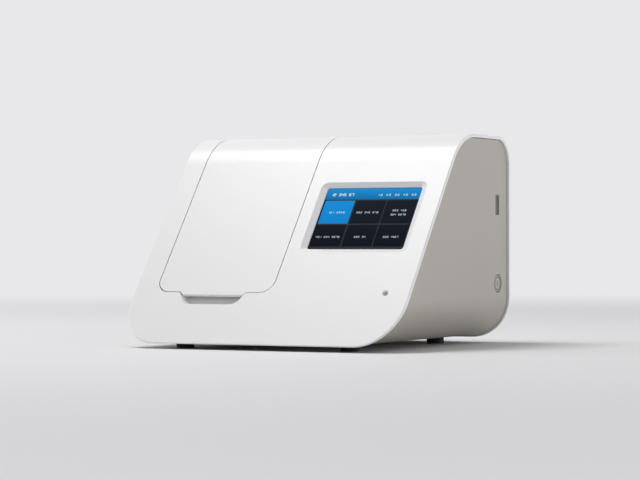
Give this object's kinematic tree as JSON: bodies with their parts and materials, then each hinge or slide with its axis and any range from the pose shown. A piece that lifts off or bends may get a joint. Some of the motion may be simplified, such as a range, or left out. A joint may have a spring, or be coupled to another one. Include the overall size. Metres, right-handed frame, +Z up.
{
  "type": "molecular diagnostic analyzer",
  "caption": "Benchtop molecular diagnostic analyzer: white hood with a slanted front, hinged lid over sample wells on the left, touch screen on the right.",
  "frame": {"origin": "on the bench, under the middle of the instrument", "axes": "+Z up, +X to the right, the slanted front faces -Y"},
  "size_m": [0.207, 0.1934, 0.145],
  "materials": {
    "hood_white": "satin",
    "side_grey": "fine satin",
    "liner_grey": "fine matte",
    "deck_grey": "fine matte",
    "holder_orange": "satin",
    "holder_blue": "satin",
    "steel": "satin",
    "chrome": "plated",
    "aluminium": "machined",
    "heater_film": "satin film",
    "optics_black": "matte",
    "lens_glass": "polished",
    "board_green": "solder mask",
    "part_black": "matte",
    "plug_white": "matte",
    "gasket_black": "foam",
    "screen_glass": "gloss",
    "button_grey": "satin",
    "cable_white": "satin film",
    "foot_rubber": "matte",
    "indicator_clear": "polished"
  },
  "bodies": {
    "housing": {"base_heater_block": "aluminium", "base_heater_pad": "heater_film", "base_tray": "side_grey", "battery_holder": "part_black", "beeper": "part_black", "board_chips": "part_black", "cable_sockets": "plug_white", "clock_battery": "chrome", "cover_screws": "steel", "deck": "deck_grey", "deck_screws": "steel", "display_board": "board_green", "display_bracket": "steel", "display_cable": "cable_white", "display_gasket": "gasket_black", "display_screws": "steel", "feet": "foot_rubber", "hinge_pins": "steel", "indicator_board": "board_green", "indicator_lens": "indicator_clear", "lcd_module": "chrome", "left_side_panel": "side_grey", "lid_sensor_board": "board_green", "main_board": "board_green", "main_board_screws": "steel", "network_jack": "part_black", "optics_board": "board_green", "optics_cable": "cable_white", "optics_housing": "optics_black", "optics_lenses": "lens_glass", "optics_screws": "steel", "power_inlet": "part_black", "rear_usb_ports": "steel", "receiver_heater_block": "aluminium", "receiver_heater_pad": "heater_film", "receiver_holder": "holder_blue", "right_side_panel": "side_grey", "side_cable": "cable_white", "side_io_board": "board_green", "side_io_screws": "steel", "side_usb_port": "steel", "standby_switch": "part_black", "test_base_holder": "holder_orange", "touch_glass": "screen_glass", "usb_tongues": "part_black", "wrap_cover": "hood_white"},
    "lid": {"lid": "hood_white", "lid_liner": "liner_grey", "lid_screws": "steel", "lid_magnet": "chrome"},
    "button": {"standby_button": "button_grey", "switch_plunger": "plug_white"}
  },
  "joints": [
    {"name": "lid_hinge", "type": "hinge", "parent": "housing", "child": "lid", "pos_m": [-0.04225, 0.066, 0.1415], "axis": [-1, 0, 0], "range_deg": [0, 125]},
    {"name": "standby_press", "type": "slide", "parent": "housing", "child": "button", "axis": [-1, 0, 0], "range_m": [0, 0.001], "stiffness_N_per_m": 1500}
  ]
}
